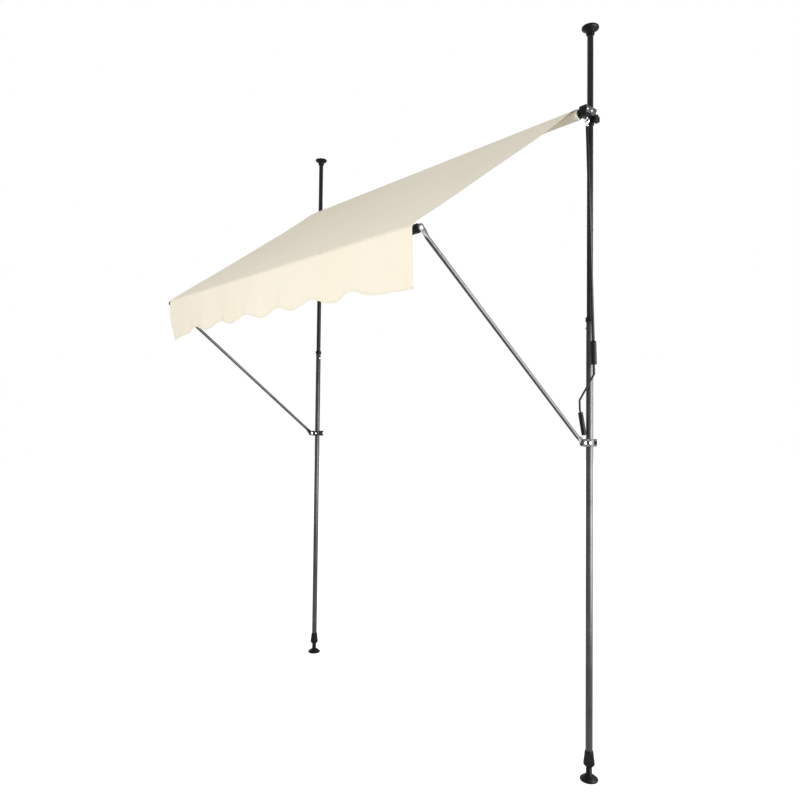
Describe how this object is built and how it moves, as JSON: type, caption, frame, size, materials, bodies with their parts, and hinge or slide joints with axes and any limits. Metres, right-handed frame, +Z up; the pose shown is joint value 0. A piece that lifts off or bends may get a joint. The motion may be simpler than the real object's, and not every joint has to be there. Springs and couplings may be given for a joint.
{
  "type": "clamp awning",
  "caption": "Cloth awning clamped between floor and ceiling on two telescopic poles, with a geared roller, drop arms, a front bar with a scalloped valance and a hanging crank.",
  "frame": {"origin": "on the floor, midway between the axes of the two poles", "axes": "+Z up, +X along the roller towards the winding gear, -Y outwards, the way the cloth runs out"},
  "size_m": [1.9836, 0.9868, 3],
  "materials": {
    "anthracite": "dark anthracite powder coat",
    "satin_grey": "satin metallic grey paint",
    "bright_zinc": "bright zinc plate",
    "chrome": "polished",
    "black_plastic": "moulded, slight sheen",
    "gear_metal": "greased, dull",
    "cream_cloth": "woven, matt"
  },
  "bodies": {
    "frame": {"canopy": "cream_cloth", "gear_case": "black_plastic", "gear_cover": "black_plastic", "left_arm_clamp_bolt_front": "bright_zinc", "left_arm_clamp_bolt_rear": "bright_zinc", "left_arm_clamp_inner": "anthracite", "left_arm_clamp_outer": "satin_grey", "left_arm_pivot_bolt": "bright_zinc", "left_ceiling_pad": "black_plastic", "left_guide_collar": "black_plastic", "left_lock_bolt": "bright_zinc", "left_lock_nut": "bright_zinc", "left_lower_tube": "satin_grey", "left_roller_clamp_bolt_front": "bright_zinc", "left_roller_clamp_bolt_rear": "bright_zinc", "left_roller_clamp_inner": "anthracite", "left_roller_clamp_outer": "satin_grey", "left_stop_collar": "black_plastic", "left_upper_tube": "anthracite", "right_arm_clamp_bolt_front": "bright_zinc", "right_arm_clamp_bolt_rear": "bright_zinc", "right_arm_clamp_inner": "anthracite", "right_arm_clamp_outer": "satin_grey", "right_arm_pivot_bolt": "bright_zinc", "right_ceiling_pad": "black_plastic", "right_guide_collar": "black_plastic", "right_lock_bolt": "bright_zinc", "right_lock_nut": "bright_zinc", "right_lower_tube": "satin_grey", "right_roller_clamp_bolt_ear": "bright_zinc", "right_roller_clamp_bolt_front": "bright_zinc", "right_roller_clamp_bolt_rear": "bright_zinc", "right_roller_clamp_inner": "anthracite", "right_roller_clamp_outer": "satin_grey", "right_stop_collar": "black_plastic", "right_upper_tube": "anthracite", "worm_shaft": "chrome"},
    "right_arm": {"right_arm_tube": "satin_grey"},
    "left_arm": {"left_arm_tube": "satin_grey"},
    "bar": {"front_bar": "anthracite", "left_bar_cap": "black_plastic", "right_bar_cap": "black_plastic", "valance": "cream_cloth"},
    "roller": {"cloth_roll": "cream_cloth", "left_roller_plug": "black_plastic", "right_roller_plug": "black_plastic", "roller_tube": "bright_zinc", "worm_wheel": "gear_metal"},
    "right_nut": {"right_foot_nut": "black_plastic"},
    "left_nut": {"left_foot_nut": "black_plastic"},
    "right_foot": {"right_foot_pad": "black_plastic", "right_foot_spindle": "black_plastic"},
    "left_foot": {"left_foot_pad": "black_plastic", "left_foot_spindle": "black_plastic"},
    "crank": {"crank_rod": "anthracite"},
    "crank_upper_grip": {"upper_grip": "black_plastic"},
    "crank_lower_grip": {"lower_grip": "black_plastic"},
    "right_knob": {"right_star_knob": "black_plastic"},
    "left_knob": {"left_star_knob": "black_plastic"}
  },
  "joints": [
    {"name": "arm_swing", "type": "hinge", "parent": "frame", "child": "right_arm", "pos_m": [0.95, -0.045, 1.317], "axis": [-1, 0, 0], "range_deg": [-17.5, 46.5], "deforming": ["canopy"]},
    {"name": "left_arm_swing", "type": "hinge", "parent": "frame", "child": "left_arm", "pos_m": [-0.95, -0.045, 1.317], "axis": [-1, 0, 0], "range_deg": [-17.5, 46.5]},
    {"name": "bar_turn", "type": "hinge", "parent": "right_arm", "child": "bar", "pos_m": [0.95, -0.9288, 1.99516], "axis": [-1, 0, 0], "range_deg": [-46.5, 17.5]},
    {"name": "roller_spin", "type": "hinge", "parent": "frame", "child": "roller", "pos_m": [0, -0.045, 2.634], "axis": [-1, 0, 0], "range_deg": [-870, 2300]},
    {"name": "right_nut_turn", "type": "hinge", "parent": "frame", "child": "right_nut", "pos_m": [0.95, 0, 0.088], "axis": [0, 0, 1], "range_deg": [-1810, 5410]},
    {"name": "right_foot_slide", "type": "slide", "parent": "frame", "child": "right_foot", "axis": [0, 0, -1], "range_m": [-0.015, 0.045]},
    {"name": "left_nut_turn", "type": "hinge", "parent": "frame", "child": "left_nut", "pos_m": [-0.95, 0, 0.088], "axis": [0, 0, 1], "range_deg": [-1810, 5410]},
    {"name": "left_foot_slide", "type": "slide", "parent": "frame", "child": "left_foot", "axis": [0, 0, -1], "range_m": [-0.015, 0.045]},
    {"name": "crank_swing", "type": "hinge", "parent": "frame", "child": "crank", "pos_m": [0.953, -0.027, 2.6039], "axis": [0, -1, 0], "range_deg": [0, 75]},
    {"name": "upper_grip_spin", "type": "hinge", "parent": "crank", "child": "crank_upper_grip", "pos_m": [0.953, -0.027, 2.6039], "axis": [0.0344, 0, -0.9994], "continuous": true},
    {"name": "lower_grip_spin", "type": "hinge", "parent": "crank", "child": "crank_lower_grip", "pos_m": [0.92264, -0.027, 1.45027], "axis": [0.1903, 0, -0.9817], "continuous": true},
    {"name": "right_knob_turn", "type": "hinge", "parent": "frame", "child": "right_knob", "pos_m": [0.95, 0, 2.6127], "axis": [1, 0, 0], "range_deg": [-720, 0]},
    {"name": "left_knob_turn", "type": "hinge", "parent": "frame", "child": "left_knob", "pos_m": [-0.95, 0, 2.6007], "axis": [-1, 0, 0], "range_deg": [-720, 0]}
  ],
  "couplings": [
    {"joint": "left_arm_swing", "follows": "arm_swing", "ratio": 1},
    {"joint": "bar_turn", "follows": "arm_swing", "ratio": -1},
    {"joint": "roller_spin", "follows": "arm_swing", "ratio": 49},
    {"joint": "right_nut_turn", "follows": "right_foot_slide", "rad_per_m": 2094.4},
    {"joint": "left_nut_turn", "follows": "left_foot_slide", "rad_per_m": 2094.4}
  ]
}
